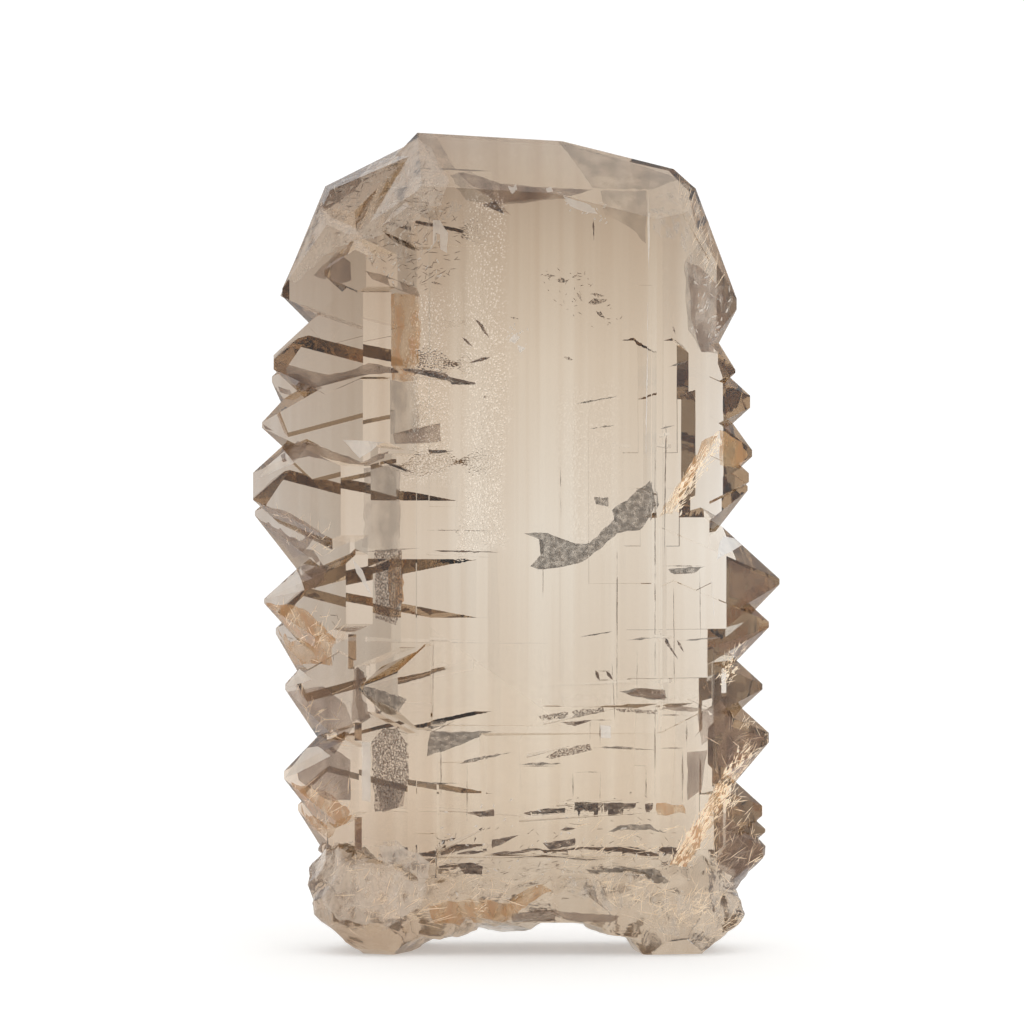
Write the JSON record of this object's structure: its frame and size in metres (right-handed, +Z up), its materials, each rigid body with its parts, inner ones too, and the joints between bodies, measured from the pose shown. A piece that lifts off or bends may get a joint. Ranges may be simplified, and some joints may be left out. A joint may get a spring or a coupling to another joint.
{
  "type": "smoky quartz gwindel",
  "caption": "Twisted stack of clear smoky quartz crystals grown together, with saw-toothed sides, one broad striated face and a broken foot cut flat to stand on.",
  "frame": {"origin": "middle of the box at the flat cuts of the foot, which the piece stands on", "axes": "+Z up the stack, the crystals' own long axes lie along X, and the broad front face looks along -Y"},
  "size_m": [0.0484, 0.0174, 0.075],
  "materials": {
    "smoky_quartz": "clear smoky crystal with flat lustrous faces, fine growth lines and frosted patches"
  },
  "bodies": {
    "root": {"gwindel": "smoky_quartz"}
  },
  "joints": []
}
